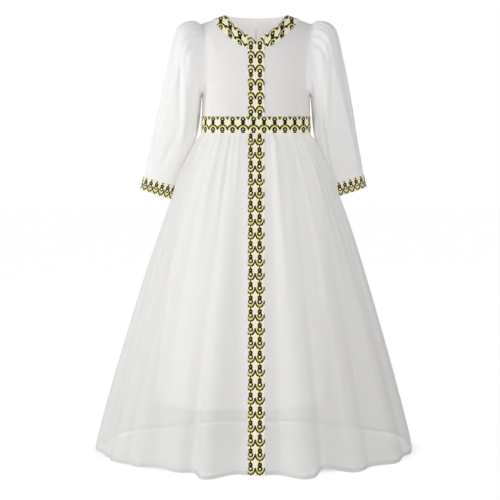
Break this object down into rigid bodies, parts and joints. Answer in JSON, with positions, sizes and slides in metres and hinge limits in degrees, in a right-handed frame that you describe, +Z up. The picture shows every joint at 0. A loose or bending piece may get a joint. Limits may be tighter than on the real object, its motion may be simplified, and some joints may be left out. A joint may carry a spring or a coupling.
{
  "type": "abaya",
  "caption": "Girl's full-length long-sleeved dress with V neck, gathered sleeve heads, full gathered skirt over a slip lining, and patterned bands at neck, front, waist and cuffs.",
  "frame": {"origin": "halfway between the shoulders and level with the high points of the neck, where the wearer carries the dress", "axes": "+Z up, the front of the dress faces -Y, +X is the wearer's left"},
  "size_m": [0.7655, 0.5754, 1.0435],
  "materials": {
    "chiffon": "sheer, matt",
    "bodice_cloth": "chiffon over lining, opaque, soft sheen",
    "lining_cloth": "smooth, soft sheen",
    "woven_band": "woven scale pattern in gold, black and cream",
    "tape": "matt",
    "zip_metal": "white lacquer"
  },
  "bodies": {
    "dress": {"bodice_front": "bodice_cloth", "bodice_back_right": "bodice_cloth", "bodice_back_left": "bodice_cloth", "neck_binding_right": "tape", "neck_binding_left": "tape", "waist_band": "woven_band", "front_band_bodice": "woven_band", "neck_band_right": "woven_band", "neck_band_left": "woven_band", "sleeve_right": "chiffon", "cuff_band_right": "woven_band", "sleeve_left": "chiffon", "cuff_band_left": "woven_band", "skirt_front": "chiffon", "front_band_skirt": "woven_band", "lining_front": "lining_cloth", "skirt_back_right": "chiffon", "lining_back_right": "lining_cloth", "skirt_back_left": "chiffon", "lining_back_left": "lining_cloth", "zip_tape": "tape", "zip_slider": "zip_metal"},
    "pull_tab": {"zip_pull": "zip_metal"}
  },
  "joints": [
    {"name": "pull_tab_hinge", "type": "hinge", "parent": "dress", "child": "pull_tab", "pos_m": [0, 0.07141, -0.01896], "axis": [1, 0, 0], "range_deg": [0, 170]}
  ]
}
